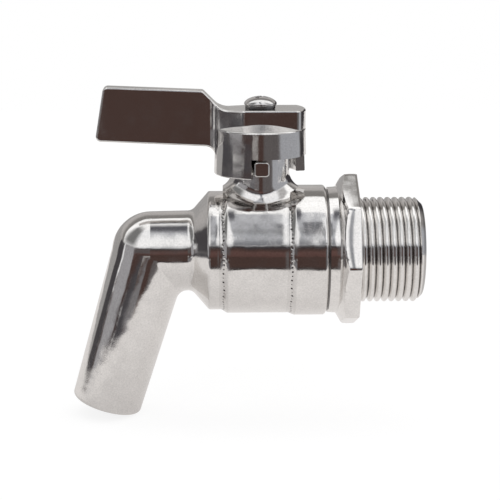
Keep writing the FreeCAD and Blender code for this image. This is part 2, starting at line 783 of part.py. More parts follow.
def lever_handle():
    """The cast lever: an upright blade that widens into a deep skirted hub with a raised boss and a stop window."""
    body = at_stem(new_body("lever_handle"))
    side = new_sketch(body, "XZ_Plane", "side_outline")
    outline(side, [("-blade_reach", "blade_low"), ("blade_lean - blade_reach", "blade_high"),
                   ("-blade_shoulder", "blade_high - blade_drop"), ("-blade_foot", "hub_top"),
                   ("2 * skirt_r", "hub_top"), ("2 * skirt_r", "ledge_z"), ("-skirt_inner_r", "ledge_z"),
                   ("-skirt_inner_r - root_fade", "skirt_bottom + 1"),
                   ("-skirt_r", "blade_heel - heel_round", "heel_round", "left"),
                   ("-skirt_r - heel_round", "blade_heel")])
    add_pad(side, "4 * skirt_r", "side", Midplane=True)
    for label, size, x, z in (("tip_low", "blade_corner", "-blade_reach", "blade_low"),
                              ("tip_high", "blade_corner", "blade_lean - blade_reach", "blade_high"),
                              ("shoulder", "shoulder_blend", "-blade_shoulder", "blade_high - blade_drop"),
                              ("foot", "foot_blend", "-blade_foot", "hub_top")):
        dress("Fillet", body, label, size, across_at(x, z))
    plan = new_sketch(body, "XY_Plane", "plan_outline")
    rectangle(plan, "-3 * blade_reach", "3 * skirt_r", "-3 * skirt_r", "3 * skirt_r")
    outline(plan, [("-2 * blade_reach", "-blade_half"), ("-root_x", "-blade_half", "root_round", "right"),
                   ("-root_x * root_share", "-root_y * root_share"), ("-boss_taper", "-boss_half"),
                   ("boss_cut", "-boss_half", "skirt_r", "left"), ("boss_cut", "boss_half"),
                   ("-boss_taper", "boss_half"),
                   ("-root_x * root_share", "root_y * root_share", "root_round", "right"),
                   ("-root_x", "blade_half"), ("-2 * blade_reach", "blade_half")])
    cut_pocket(plan, "2 * blade_high", "plan", Reversed=True)
    dress("Fillet", body, "boss_corners", "boss_round", upright_at("boss_cut"))
    dress("Fillet", body, "boss_shoulders", "taper_round", upright_at("-boss_taper"))
    dress("Fillet", body, "root_corners", "root_corner", upright_at("-root_x * root_share"))
    dress("Fillet", body, "outer_edges", "blade_edge", lever_rim)
    cup = new_sketch(body, "XZ_Plane", "cup_section")
    outline(cup, [("skirt_inner_r", "skirt_bottom + rim_round", "rim_round", "left"),
                  ("skirt_inner_r + rim_round", "skirt_bottom"),
                  ("skirt_r + skirt_flare - rim_round", "skirt_bottom", "rim_round", "left"),
                  ("skirt_r + skirt_flare", "skirt_bottom + rim_round"),
                  ("skirt_r", "ledge_z - ledge_round", "1.2 * ledge_round", "left"),
                  ("skirt_r - ledge_round", "ledge_z + ledge_round / 4"), ("0", "ledge_z + ledge_rise"),
                  ("0", "roof_z"), ("skirt_inner_r", "roof_z")])
    add_turned(cup, "Z_Axis", "cup")
    window = new_sketch(body, "XZ_Plane", "window_section", turn="-90 - window_half")
    rectangle(window, "skirt_inner_r - 1", "2 * skirt_r", "0", "window_top")
    cut_turned(window, "own", "window", angle="90 + 2 * window_half")
    socket = new_sketch(body, "XY_Plane", "socket_square", height="roof_z - 1")
    rectangle(socket, "-square_half - socket_gap", "square_half + socket_gap",
              "-square_half - socket_gap", "square_half + socket_gap")
    cut_pocket(socket, "socket_depth + 1", "socket", Reversed=True)
    hole = new_sketch(body, "XY_Plane", "screw_circle", height="roof_z")
    cut_pocket(disc(hole, "screw_r + hole_gap"), "2 * hub_top", "screw_hole", Reversed=True)
    return body


def lever_rim(edge):
    """The edges between the lever's upright sides and its tip, top and underside."""
    box, centre = edge.BoundBox, edge.CenterOfMass
    if is_line(edge) and box.YLength > 1 and box.XLength < 1e-3:
        return False
    on_blade = centre.x < -value("root_x") and near(abs(centre.y), "blade_half")
    under = centre.x < -value("skirt_r") and box.ZMax < value("blade_heel") + 2
    return on_blade or under or box.ZMin > value("hub_top") - 1e-3


def upright_at(x):
    """Choose the upright straight edges at one distance from the stem."""
    def pick(edge):
        return is_line(edge) and edge.BoundBox.ZLength > 1 and near(edge.CenterOfMass.x, x)
    return pick


def across_at(x, z):
    """Choose the edges that run straight across the blade at one place of its outline."""
    def pick(edge):
        centre = edge.CenterOfMass
        return is_line(edge) and edge.BoundBox.YLength > 1 and near(centre.x, x) and near(centre.z, z)
    return pick


def handle_screw():
    """A pan-head screw with a cross recess."""
    body = at_stem(new_body("handle_screw"))
    section = new_sketch(body, "XZ_Plane", "section")
    outline(section, [("0", "head_z - screw_length"), ("screw_r", "head_z - screw_length"),
                      ("screw_r", "head_z"), ("head_r", "head_z"),
                      ("head_r", "head_z + head_rim", "head_shoulder", "left"),
                      ("head_crown_r", "head_top - head_ease", "head_dome", "left"), ("0", "head_top")])
    add_turned(section, "Z_Axis")
    recess = new_sketch(body, "XY_Plane", "cross", height="head_top")
    arm, reach = "recess_half", "recess_reach"
    outline(recess, [(reach, f"-{arm}"), (reach, arm), (arm, arm), (arm, reach), (f"-{arm}", reach),
                     (f"-{arm}", arm), (f"-{reach}", arm), (f"-{reach}", f"-{arm}"), (f"-{arm}", f"-{arm}"),
                     (f"-{arm}", f"-{reach}"), (arm, f"-{reach}"), (arm, f"-{arm}")])
    cut_pocket(recess, "recess_depth", "cross_recess")
    return body


def lock_washer():
    body = at_stem(new_body("lock_washer"))
    section = new_sketch(body, "XZ_Plane", "section")
    rectangle(section, "washer_bore", "washer_r", "hub_top", "head_z")
    add_turned(section, "Z_Axis", angle="washer_turn")
    return body


spout_elbow()
weld_bead("outlet_weld", OUTLET_WELD, "outlet_reach")
body_shell()
weld_bead("inlet_weld", INLET_WELD, "inlet_reach")
inlet_collar()
end_connector()
body_gasket()
seat("outlet_seat", "-1")
seat("inlet_seat", "1")
ball()
stem()
stem_thrust_washer()
stem_o_ring()
stem_packing_base()
stem_packing_rings()
packing_follower()
gland_nut()
lever_handle()
handle_screw()
lock_washer()

doc.recompute()
for item in doc.Objects:
    if "Invalid" in item.State or "Error" in item.State:
        raise RuntimeError(f"{item.Label} failed: {item.State}")
for item in parts:
    if item.Shape.isNull() or not item.Shape.isValid() or not item.Shape.Solids:
        raise RuntimeError(f"{item.Label} has no valid solid")

os.makedirs("parts", exist_ok=True)
for item in parts:
    item.Shape.exportStep(f"parts/{item.Label}.step")
    print(f"{item.Label:22s} solids {len(item.Shape.Solids)} volume {item.Shape.Volume:10.2f}")
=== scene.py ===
"""Looks for the beer faucet: polished steel, the pipe thread, the spot welds and the handle screw.

Lengths are in millimetres and angles in degrees, unless a name or a comment says otherwise.
"""

import json
import math

import bmesh
import bpy
from mathutils import Matrix, Vector


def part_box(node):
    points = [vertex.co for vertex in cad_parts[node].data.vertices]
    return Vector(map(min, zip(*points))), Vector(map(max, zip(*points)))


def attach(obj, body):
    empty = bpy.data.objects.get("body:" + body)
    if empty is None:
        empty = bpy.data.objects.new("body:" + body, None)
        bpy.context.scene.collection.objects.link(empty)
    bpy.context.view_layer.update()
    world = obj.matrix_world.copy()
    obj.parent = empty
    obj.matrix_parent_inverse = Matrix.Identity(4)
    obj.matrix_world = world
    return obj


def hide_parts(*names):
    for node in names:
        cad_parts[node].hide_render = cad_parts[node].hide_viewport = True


MM = 0.001

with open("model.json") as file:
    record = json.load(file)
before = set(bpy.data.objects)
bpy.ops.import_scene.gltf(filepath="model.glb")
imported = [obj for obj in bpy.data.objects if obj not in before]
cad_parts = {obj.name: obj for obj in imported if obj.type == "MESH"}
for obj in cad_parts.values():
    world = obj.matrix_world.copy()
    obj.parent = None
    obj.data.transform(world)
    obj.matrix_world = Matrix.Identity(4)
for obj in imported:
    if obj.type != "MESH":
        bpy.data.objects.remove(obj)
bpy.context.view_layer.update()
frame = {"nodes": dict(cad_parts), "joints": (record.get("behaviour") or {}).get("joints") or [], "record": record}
nodes = frame["nodes"]
mounts = {mount["name"]: mount for mount in frame["record"]["mounts"]}


# Camera

# The photograph's side and focal length in pixels, its scale at the origin, and where the origin is
PICTURE = 500
FOCAL_PIXELS = 1580
MM_PER_PIXEL = 0.2528
ORIGIN_PIXEL = (355.5, 249.3)
CAMERA_AZIMUTH = -1.6
CAMERA_ELEVATION = 12.5
SENSOR_WIDTH = 36


def set_up_camera():
    """Stand the camera where the photograph's perspective puts it."""
    azimuth, elevation = math.radians(CAMERA_AZIMUTH), math.radians(CAMERA_ELEVATION)
    forward = Vector((-math.sin(azimuth) * math.cos(elevation),
                      math.cos(azimuth) * math.cos(elevation), -math.sin(elevation)))
    right = Vector((math.cos(azimuth), math.sin(azimuth), 0))
    up = right.cross(forward)
    aside = -(ORIGIN_PIXEL[0] - PICTURE / 2) * MM_PER_PIXEL
    above = (ORIGIN_PIXEL[1] - PICTURE / 2) * MM_PER_PIXEL
    distance = FOCAL_PIXELS * MM_PER_PIXEL
    place = (right * aside + up * above - forward * distance) * MM
    turn = Matrix((right, up, -forward)).transposed().to_4x4()
    camera = bpy.data.objects.new("camera", bpy.data.cameras.new("camera"))
    camera.data.sensor_width = SENSOR_WIDTH
    camera.data.lens = FOCAL_PIXELS * SENSOR_WIDTH / PICTURE
    camera.matrix_world = Matrix.Translation(place) @ turn
    bpy.context.scene.collection.objects.link(camera)
    bpy.context.scene.camera = camera


set_up_camera()


# Node helpers

def add_node(tree, kind, inputs=None, **settings):
    """Add a shader node. Inputs are numbers, colours or sockets of other nodes."""
    node = tree.nodes.new(kind)
    for name, setting in settings.items():
        setattr(node, name, setting)
    for name, source in (inputs or {}).items():
        if isinstance(source, bpy.types.NodeSocket):
            tree.links.new(source, node.inputs[name])
        else:
            node.inputs[name].default_value = source
    return node


def node_group(name, inputs, outputs):
    """An empty group with named sockets, and the nodes that bring them in and out."""
    group = bpy.data.node_groups.new(name, "ShaderNodeTree")
    for side, sockets in (("INPUT", inputs), ("OUTPUT", outputs)):
        for socket, kind in sockets.items():
            group.interface.new_socket(name=socket, in_out=side, socket_type="NodeSocket" + kind)
    return group, group.nodes.new("NodeGroupInput"), group.nodes.new("NodeGroupOutput")


def maths(tree, operation, first, second=0.0, third=0.0):
    """A number worked out from up to three numbers."""
    return add_node(tree, "ShaderNodeMath", {0: first, 1: second, 2: third},
                    operation=operation).outputs[0]


def times(tree, first, second):
    """The product of two numbers."""
    return maths(tree, "MULTIPLY", first, second)


def minus(tree, first, second):
    """The first number less the second."""
    return maths(tree, "SUBTRACT", first, second)


def times_plus(tree, first, factor, more):
    """A number times a factor, with more added."""
    return maths(tree, "MULTIPLY_ADD", first, factor, more)


def long_side(tree, first, second):
    """The long side of a right triangle."""
    squares = maths(tree, "ADD", times(tree, first, first), times(tree, second, second))
    return maths(tree, "SQRT", squares)


def fade(tree, value, start, end, low=0.0, high=1.0):
    """A smooth step of a value from low at start to high at end."""
    return add_node(tree, "ShaderNodeMapRange", {"Value": value, "From Min": start, "From Max": end,
                                                 "To Min": low, "To Max": high},
                    interpolation_type="SMOOTHSTEP").outputs["Result"]


def fade_out(tree, value, start, end):
    """A smooth step from one at start to nothing at end."""
    return fade(tree, value, start, end, 1.0, 0.0)


def window(tree, value, low, high, edge):
    """One inside low and high, nothing outside, with soft edges."""
    return times(tree, fade(tree, value, low - edge, low + edge),
                 fade_out(tree, value, high - edge, high + edge))


def blend(tree, share, first, second):
    """Mix two colours by a share."""
    node = add_node(tree, "ShaderNodeMix", data_type="RGBA")
    for index, source in ((0, share), (6, first), (7, second)):
        if isinstance(source, bpy.types.NodeSocket):
            tree.links.new(source, node.inputs[index])
        else:
            node.inputs[index].default_value = source
    return node.outputs[2]


def brighten(tree, tone, factor):
    """A colour whose brightness is multiplied by a factor."""
    return add_node(tree, "ShaderNodeHueSaturation", {"Color": tone, "Value": factor}).outputs[0]


def noise(tree, place, scale, detail, roughness=0.5):
    """A cloudy number between nothing and one. The scale is in clouds per metre."""
    return add_node(tree, "ShaderNodeTexNoise", {"Vector": place, "Scale": scale, "Detail": detail,
                                                 "Roughness": roughness}).outputs["Fac"]


def split(tree, vector):
    """The three parts of a vector."""
    return add_node(tree, "ShaderNodeSeparateXYZ", {"Vector": vector}).outputs


def object_place(tree):
    """Where a point lies in the frame, in metres."""
    return add_node(tree, "ShaderNodeTexCoord").outputs["Object"]


def metres(*lengths):
    """Lengths in metres, as nodes and meshes read them."""
    return [length * MM for length in lengths]


def colour(red, green, blue):
    """An opaque colour."""
    return (red, green, blue, 1.0)


# Studio: what the polished steel reflects

BROWN = colour(0.075, 0.046, 0.040)
# Height bands seen from the front over the top to the back: degrees and colour
ROOM_BANDS = [(-180, colour(0.30, 0.29, 0.28)), (-60, colour(0.20, 0.19, 0.18)),
              (-24, colour(0.05, 0.042, 0.042)), (-16, BROWN), (0, BROWN)]
SKY_BANDS = [(0, colour(0.115, 0.062, 0.055)), (7, colour(0.125, 0.070, 0.062)), (12, BROWN),
             (17, colour(0.045, 0.042, 0.047)), (21, colour(0.85, 0.86, 0.88)),
             (28, colour(1.10, 1.10, 1.11)), (70, colour(1.05, 1.06, 1.08)),
             (84, colour(1.25, 1.25, 1.25)), (117, colour(1.25, 1.25, 1.25)),
             (121, colour(0.24, 0.23, 0.22)), (133, colour(0.27, 0.26, 0.25)),
             (145, colour(0.50, 0.48, 0.47)), (180, colour(0.62, 0.60, 0.59))]
# Patches of the room: degrees round from the front, degrees of height, soft edge, colour
PATCHES = [((-181, -112), (-30, 17), 4, colour(0.40, 0.39, 0.385)),
           ((8, 48), (-30, 10), 3, colour(0.13, 0.118, 0.118)),
           ((-112, -23), (-30, -5), 1.5, colour(0.075, 0.071, 0.078)),
           ((-60, -6), (-30, -10.4), 1.2, colour(0.22, 0.212, 0.22)),
           ((-50, -5), (2, 17), 3, colour(0.11, 0.095, 0.095)),
           ((-84, -50), (-4.6, 17), 1.2, colour(0.38, 0.375, 0.39)),
           ((-112, -88), (-4.6, 17), 2, colour(0.07, 0.065, 0.07)),
           ((-75, -42), (-10, -7.1), 0.6, colour(0.80, 0.79, 0.78)),
           ((-22, -7), (-7.4, -4.6), 0.8, colour(0.50, 0.49, 0.48)),
           ((46, 114), (-30, 17), 4, colour(0.42, 0.43, 0.46)),
           ((114, 166), (-30, 17), 5, colour(0.05, 0.046, 0.05)),
           ((-100, -50), (18, 70), 12, colour(0.22, 0.22, 0.22)),
           ((50, 80), (18, 70), 6, colour(0.55, 0.54, 0.54)),
           ((170, 181), (-30, 17), 3, colour(0.46, 0.45, 0.44))]
# A grey boom over the camera. Its middle and the fades of its sides and right end are sideways
# parts of a way that is one long, and its waist, bottom, top and edge are degrees. It widens by its
# flare for each degree of height off its waist
BOOM_BANDS = [(20, colour(0.12, 0.12, 0.14)), (25, colour(0.26, 0.27, 0.29)),
              (30, colour(0.40, 0.41, 0.44)), (38, colour(0.50, 0.52, 0.55)),
              (46, colour(0.40, 0.41, 0.43)), (54, colour(0.52, 0.53, 0.56)),
              (78, colour(0.58, 0.59, 0.62))]
BOOM_MIDDLE = 0.038
BOOM_SIDE = (0.030, 0.056)
BOOM_RIGHT_END = (0.070, 0.082)
BOOM_WAIST = 34.0
BOOM_FLARE = 0.0028
BOOM_LOW = 20
BOOM_HIGH = 81
BOOM_EDGE = 2
# Two dark flags beside the boom: reach across, its soft edge, degrees over the top, their soft edge
FLAGS = [((0.048, 0.088), 0.006, (36, 62), 4),
         ((-0.12, 0.012), 0.010, (68, 90), 8)]
FLAG_TONE = colour(0.12, 0.12, 0.135)
# The panels' folds: scale and detail of their noise, and the degrees by which they push a way
FOLD_NOISE = (9.0, 3.0)
FOLDS_OVER = 6.0
FOLDS_AROUND = 4.0
# Their uneven light: scale and detail of its noise, how much it varies, and its least share
LIGHT_NOISE = (26.0, 4.0)
LIGHT_SPREAD = 0.5
LIGHT_LEAST = 0.75
WHITE = colour(1, 1, 1)

# The table: its height, its front edge, half its width and its depth
TABLE_Z = -42.6
TABLE_FRONT = -107
TABLE_HALF = 320
TABLE_DEPTH = 700
# The shade that reflections show on the table: a point by the spout, and the distances from it at
# which the shade is full and gone
SHADE_MIDDLE = (-80, -15, 0)
SHADE_FULL = 20
SHADE_END = 80
# The table in reflections, shaded and plain, then to the camera, and the matt tone that takes shadows
SHADE_TONE = colour(0.46, 0.44, 0.43)
TABLE_TONE = colour(0.68, 0.655, 0.64)
TABLE_SEEN = colour(0.86, 0.86, 0.86)
TABLE_MATT = colour(0.22, 0.22, 0.22)


def ramp(tree, value, bands, low, high):
    """A colour ramp whose stops are given in the value's own unit."""
    share = add_node(tree, "ShaderNodeMapRange", {"Value": value, "From Min": low, "From Max": high})
    node = add_node(tree, "ShaderNodeValToRGB", {"Fac": share.outputs[0]})
    node.color_ramp.interpolation = "EASE"
    stops = node.color_ramp.elements
    while len(stops) < len(bands):
        stops.new(0.5)
    for stop, (place, tone) in zip(stops, bands):
        stop.position = (place - low) / (high - low)
        stop.color = tone
    return node.outputs["Color"]


def paint_room(tree, over, height):
    """The bands of the room below the faucet's level and of the sky above it."""
    return blend(tree, maths(tree, "GREATER_THAN", height, 0.0), ramp(tree, over, ROOM_BANDS, -180, 0),
                 ramp(tree, over, SKY_BANDS, 0, 180))


def hang_patches(tree, tone, around, lift):
    """Panels and dark gaps round the faucet."""
    for (left, right), (low, high), edge, paint in PATCHES:
        share = times(tree, window(tree, around, left, right, edge), window(tree, lift, low, high, edge))
        tone = blend(tree, share, tone, paint)
    return tone


def hang_boom(tree, tone, across, over, lift):
    """A grey boom over the camera, narrowest half way up."""
    flare = times(tree, maths(tree, "ABSOLUTE", minus(tree, lift, BOOM_WAIST)), BOOM_FLARE)
    aside = minus(tree, maths(tree, "ABSOLUTE", minus(tree, across, BOOM_MIDDLE)), flare)
    sides = times(tree, fade_out(tree, aside, *BOOM_SIDE), fade_out(tree, across, *BOOM_RIGHT_END))
    share = times(tree, sides, window(tree, over, BOOM_LOW, BOOM_HIGH, BOOM_EDGE))
    return blend(tree, share, tone, ramp(tree, over, BOOM_BANDS, 0, 90))


def hang_flags(tree, tone, across, over):
    """Two dark flags beside the boom."""
    shares = [times(tree, window(tree, across, *reach, side_edge), window(tree, over, *rise, end_edge))
              for reach, side_edge, rise, end_edge in FLAGS]
    return blend(tree, maths(tree, "MAXIMUM", *shares), tone, FLAG_TONE)


def set_up_surroundings():
    """White for the camera, and a studio of soft panels for everything that the steel reflects."""
    world = bpy.data.worlds.new("studio")
    bpy.context.scene.world = world
    world.use_nodes = True
    tree = world.node_tree
    tree.nodes.clear()
    way = add_node(tree, "ShaderNodeTexCoord").outputs["Generated"]
    across, depth, height = split(tree, way)
    front = times(tree, depth, -1.0)
    folds = minus(tree, noise(tree, way, *FOLD_NOISE), 0.5)
    in_degrees = 180 / math.pi
    over = times_plus(tree, folds, FOLDS_OVER,
                      times(tree, maths(tree, "ARCTAN2", height, front), in_degrees))
    around = times_plus(tree, folds, FOLDS_AROUND,
                        times(tree, maths(tree, "ARCTAN2", across, front), in_degrees))
    lift = times(tree, maths(tree, "ARCSINE", height), in_degrees)
    tone = paint_room(tree, over, height)
    tone = hang_patches(tree, tone, around, lift)
    tone = hang_boom(tree, tone, across, over, lift)
    tone = hang_flags(tree, tone, across, over)
    light = noise(tree, way, *LIGHT_NOISE)
    tone = brighten(tree, tone, times_plus(tree, light, LIGHT_SPREAD, LIGHT_LEAST))
    seen = add_node(tree, "ShaderNodeLightPath").outputs["Is Camera Ray"]
    back = add_node(tree, "ShaderNodeBackground", {"Color": blend(tree, seen, tone, WHITE)})
    out = add_node(tree, "ShaderNodeOutputWorld")
    tree.links.new(back.outputs[0], out.inputs[0])


def table_finish():
    """White for the camera, shaded under the spout in reflections, and clear from below."""
    material = bpy.data.materials.new("white_table")
    material.use_nodes = True
    tree = material.node_tree
    tree.nodes.clear()
    away = add_node(tree, "ShaderNodeVectorMath", {0: object_place(tree), 1: metres(*SHADE_MIDDLE)},
                    operation="DISTANCE").outputs["Value"]
    pale = blend(tree, fade(tree, away, *metres(SHADE_FULL, SHADE_END)), SHADE_TONE, TABLE_TONE)
    seen = add_node(tree, "ShaderNodeLightPath").outputs["Is Camera Ray"]
    glow = add_node(tree, "ShaderNodeEmission", {"Color": blend(tree, seen, pale, TABLE_SEEN)})
    matt = add_node(tree, "ShaderNodeBsdfDiffuse", {"Color": TABLE_MATT})
    both = add_node(tree, "ShaderNodeAddShader", {0: glow.outputs[0], 1: matt.outputs[0]})
    under = add_node(tree, "ShaderNodeNewGeometry").outputs["Backfacing"]
    clear = add_node(tree, "ShaderNodeBsdfTransparent")
    either = add_node(tree, "ShaderNodeMixShader", {0: under, 1: both.outputs[0], 2: clear.outputs[0]})
    out = add_node(tree, "ShaderNodeOutputMaterial")
    tree.links.new(either.outputs[0], out.inputs[0])
    return material


def set_up_table():
    """A white table just under the spout's mouth, which ends a hand's breadth in front of the faucet."""
    bm = bmesh.new()
    bmesh.ops.create_grid(bm, x_segments=1, y_segments=1, size=0.5)
    bmesh.ops.scale(bm, verts=bm.verts, vec=(2 * TABLE_HALF, TABLE_DEPTH, 1))
    bmesh.ops.translate(bm, verts=bm.verts, vec=(0, TABLE_DEPTH / 2 + TABLE_FRONT, TABLE_Z))
    bmesh.ops.scale(bm, verts=bm.verts, vec=(MM, MM, MM))
    mesh = bpy.data.meshes.new("table")
    bm.to_mesh(mesh)
    bm.free()
    mesh.materials.append(table_finish())
    table = bpy.data.objects.new("table", mesh)
    bpy.context.scene.collection.objects.link(table)


set_up_surroundings()
set_up_table()
bpy.context.scene.view_settings.view_transform = "Standard"


# Sizes that the frame gives

def corners(node):
    """The lowest and the highest corner of a solid."""
    return [[round(place / MM, 3) for place in corner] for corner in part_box(node)]


def bore_ends(name):
    """The two ends of a bore's axis, from its back to its mouth."""
    mount = mounts[name]
    half = mount["dims"]["length_mm"] / 2
    return [[round(middle / MM + side * half * way, 2)
             for middle, way in zip(mount["pos_m"], mount["axis"])] for side in (-1, 1)]


# How near a weld's point lies to one of its edges when it is on it
EDGE_NEAR = 0.02


def weld_place(node):
    """Where a weld bead lies: its reach along the faucet, its radii and its first and last angle."""
    points = [vert.co / MM for vert in nodes[node].data.vertices]
    left, right = min(point.x for point in points), max(point.x for point in points)
    low, high = [max(math.hypot(point.y, point.z) for point in points if abs(point.x - side) < EDGE_NEAR)
                 for side in (left, right)]
    around = [math.atan2(point.y, -point.z) for point in points]
    return {"left": left, "right": right, "middle": (left + right) / 2, "low": low, "high": high,
            "mean_r": (low + high) / 2, "root": min(math.hypot(point.y, point.z) for point in points),
            "first": min(around), "last": max(around)}


ELBOW_CENTRE = bore_ends("spout_outlet")[0]
TUBE_WAY = mounts["spout_outlet"]["axis"]
(SEAM_X, _, _), (THREAD_END, _, _) = bore_ends("inlet_bore")
BORE_R = mounts["inlet_bore"]["dims"]["r_mm"]
CREST_R, THREAD_STRAIGHT = [mounts["inlet_thread"]["dims"][size] for size in ("r_mm", "length_mm")]
NOSE_X = corners("end_connector")[0][0]
STEM_X = round(frame["joints"][0]["pos_m"][0] / MM, 3)
(WASHER_LEFT, _, HUB_TOP), (WASHER_RIGHT, _, HEAD_Z) = corners("lock_washer")
WASHER_R = (WASHER_RIGHT - WASHER_LEFT) / 2
WASHER_HEIGHT = HEAD_Z - HUB_TOP
(HEAD_LEFT, _, SCREW_TIP), (HEAD_RIGHT, _, _) = corners("handle_screw")
HEAD_R = (HEAD_RIGHT - HEAD_LEFT) / 2
WELDS = {node: weld_place(node) for node in ("outlet_weld", "inlet_weld")}


# Sizes that finishes and pieces share

# The pipe thread has 14 threads to the inch
PITCH = 25.4 / 14
ROOT_R = 12.06
SEAM_WIDTH = 0.45
SEAM_DEPTH = 0.5
# Weld spots: their pitch along the joint, their radius, and how far and how fast they sway across it
SPOT_PITCH = 1.19
SPOT_R = 0.30
SPOT_SWAY = 0.12
SPOT_WANDER = 7.3
# The screw's head: the height of its rim and of its crown, and how flat the crown is
HEAD_RIM = 0.35
HEAD_HEIGHT = 2.1
CROWN_POWER = 0.62
# The cross recess: half the width of an arm, how far it reaches, and its depth in the middle
RECESS_HALF = 0.46
RECESS_REACH = 2.1
RECESS_DEPTH = 1.3


# Finishes

# Scale and detail of the polish's noises, with the smears' roughness, and how the lines are stretched
WAVE_NOISE = (150.0, 1.5)
GRAIN_NOISE = (2600.0, 2.0)
SMEAR_NOISE = (210.0, 5.0, 0.62)
LINE_DETAIL = 4.0
LINE_STRETCH = (1.0, 18.0, 18.0)
# What they do: the smears' first and full level, and shares of roughness, brightness and height
SMEAR_FROM = 0.42
SMEAR_FULL = 0.68
LINE_ROUGHNESS = 0.025
FINE_HEIGHT = 0.02
PLAIN_SHADE = 0.88
GRAIN_SHADE = 0.30
SMEAR_SHADE = -0.22

# The dish beside a weld: its depth and half width, and the heights between which it runs out
DISH_DEPTH = 0.11
DISH_HALF = 1.3
DISH_FULL_Z = 15.0
DISH_END_Z = 16.2
# Casting waves: scale and detail of the noise, their height, and where they start and are full
NECK_NOISE = (170.0, 0.5)
NECK_WAVES = 0.16
NECK_START_Z = 15.0
NECK_FULL_Z = 18.0
HUB_NOISE = (120.0, 0.3)
HUB_WAVES = 0.30
HUB_START_X = -40.0
HUB_FULL_X = -36.0
# The crease round the slanted tube: its radius, its softness, and where along the tube it runs out
CREASE_R = 9.8
CREASE_FULL = 0.15
CREASE_END = 0.40
CREASE_FADE_START = 4
CREASE_FADE_END = 9

# A pit's reach in shares of SPOT_R, how it varies from spot to spot, and the shares of its soft edge
PIT_REACH = 0.8
PIT_SPREAD = 0.3
PIT_WANDER = 2.9
PIT_EDGE = (0.5, 1.05)
# Painted shade: how dark it is, and where it starts and ends, measured from the root, seam, crown and hub
ROOT_PAINTED_SHADE = 0.42
ROOT_FULL = 0.02
ROOT_END = 0.38
ROOT_CORE = (-0.6, -0.4)
SEAM_PAINTED_SHADE = 0.85
SEAM_BEFORE = 0.05
SEAM_FULL = 0.25
RECESS_PAINTED_SHADE = 0.85
RECESS_START = 0.2
RECESS_FULL = 0.7
RECESS_MARGIN = 1.03
LINE_PAINTED_SHADE = 0.8
LINE_FULL = 0.30
LINE_END = 0.45


def polish_group():
    """Slow casting waves, a fine grain, buffing lines and faint smears, from one set of noises."""
    group, source, result = node_group(
        "polish", {"Vector": "Vector", "Base Color": "Color", "Roughness": "Float", "Smear": "Float",
                   "Line Scale": "Float"},
        {"Color": "Color", "Roughness": "Float", "Height": "Float"})
    place = source.outputs["Vector"]
    waves, grain, smears = [noise(group, place, *numbers)
                            for numbers in (WAVE_NOISE, GRAIN_NOISE, SMEAR_NOISE)]
    stretched = add_node(group, "ShaderNodeVectorMath", {0: place, 1: LINE_STRETCH},
                         operation="MULTIPLY").outputs[0]
    lines = noise(group, stretched, source.outputs["Line Scale"], LINE_DETAIL)
    smear = times(group, fade(group, smears, SMEAR_FROM, SMEAR_FULL), source.outputs["Smear"])
    rough = maths(group, "ADD", source.outputs["Roughness"], smear)
    group.links.new(times_plus(group, lines, LINE_ROUGHNESS, rough), result.inputs["Roughness"])
    speckle = times_plus(group, grain, GRAIN_SHADE, PLAIN_SHADE)
    shade = times_plus(group, smears, SMEAR_SHADE, speckle)
    group.links.new(brighten(group, source.outputs["Base Color"], shade), result.inputs["Color"])
    fine = times_plus(group, lines, FINE_HEIGHT, times(group, grain, FINE_HEIGHT))
    group.links.new(maths(group, "ADD", fine, waves), result.inputs["Height"])
    return group


POLISH = polish_group()


def shader_of(material):
    """The shader of a finish."""
    return material.node_tree.nodes["Principled BSDF"]


def source_of(socket):
    """The socket that feeds another one."""
    return socket.links[0].from_socket


def polished(name, tone, roughness, smear, line_scale, relief):
    """A metal finish with the polish's marks, whose relief is this high."""
    material = bpy.data.materials.new(name)
    material.use_nodes = True
    tree, shader = material.node_tree, shader_of(material)
    marks = add_node(tree, "ShaderNodeGroup",
                     {"Vector": object_place(tree), "Base Color": tone, "Roughness": roughness,
                      "Smear": smear, "Line Scale": line_scale}, node_tree=POLISH)
    bump = add_node(tree, "ShaderNodeBump", {"Height": marks.outputs["Height"], "Strength": 1.0,
                                             "Distance": relief * MM})
    tree.links.new(marks.outputs["Color"], shader.inputs["Base Color"])
    tree.links.new(marks.outputs["Roughness"], shader.inputs["Roughness"])
    tree.links.new(bump.outputs[0], shader.inputs["Normal"])
    shader.inputs["Metallic"].default_value = 1.0
    return material


def darken(material, share, tone, rougher):
    """Tint a finish towards a tone, and roughen it, where a share of the surface is marked."""
    tree, shader = material.node_tree, shader_of(material)
    steel, rough = source_of(shader.inputs["Base Color"]), source_of(shader.inputs["Roughness"])
    tree.links.new(blend(tree, share, steel, tone), shader.inputs["Base Color"])
    tree.links.new(times_plus(tree, share, rougher, rough), shader.inputs["Roughness"])
    return material


def add_relief(material, height):
    """Add a height in metres to a finish's relief."""
    tree, shader = material.node_tree, shader_of(material)
    bump = add_node(tree, "ShaderNodeBump", {"Height": height, "Strength": 1.0, "Distance": 1.0,
                                             "Normal": source_of(shader.inputs["Normal"])})
    tree.links.new(bump.outputs[0], shader.inputs["Normal"])
    return material


